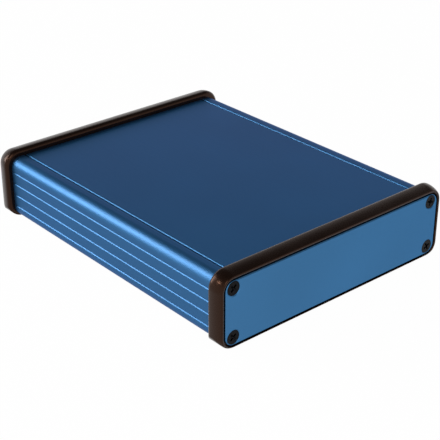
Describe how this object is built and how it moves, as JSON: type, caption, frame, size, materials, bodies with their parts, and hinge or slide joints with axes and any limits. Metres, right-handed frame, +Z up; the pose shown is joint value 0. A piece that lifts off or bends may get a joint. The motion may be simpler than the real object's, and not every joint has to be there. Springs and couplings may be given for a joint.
{
  "type": "extruded aluminium enclosure",
  "caption": "Low rectangular instrument case: an anodised extrusion with a slide-in cover, closed at both ends by dark moulded bezels and flat screwed panels.",
  "frame": {"origin": "middle of the footprint, on the surface that the feet stand on", "axes": "+X across the width, +Y along the length away from the front panel, +Z up"},
  "size_m": [0.108, 0.1328, 0.0303],
  "materials": {
    "anodised_body": "blue anodised, fine satin",
    "anodised_cover": "blue anodised, fine satin",
    "anodised_panel": "blue anodised, fine satin",
    "bezel_plastic": "moulded dark plastic, slight sheen",
    "screw_steel": "black oxide",
    "foot_rubber": "matt"
  },
  "bodies": {
    "root": {"body": "anodised_body", "cover": "anodised_cover", "front_bezel": "bezel_plastic", "rear_bezel": "bezel_plastic", "front_panel": "anodised_panel", "rear_panel": "anodised_panel", "front_screw_1": "screw_steel", "front_screw_2": "screw_steel", "front_screw_3": "screw_steel", "front_screw_4": "screw_steel", "rear_screw_1": "screw_steel", "rear_screw_2": "screw_steel", "rear_screw_3": "screw_steel", "rear_screw_4": "screw_steel", "foot_1": "foot_rubber", "foot_2": "foot_rubber", "foot_3": "foot_rubber", "foot_4": "foot_rubber"}
  },
  "joints": []
}
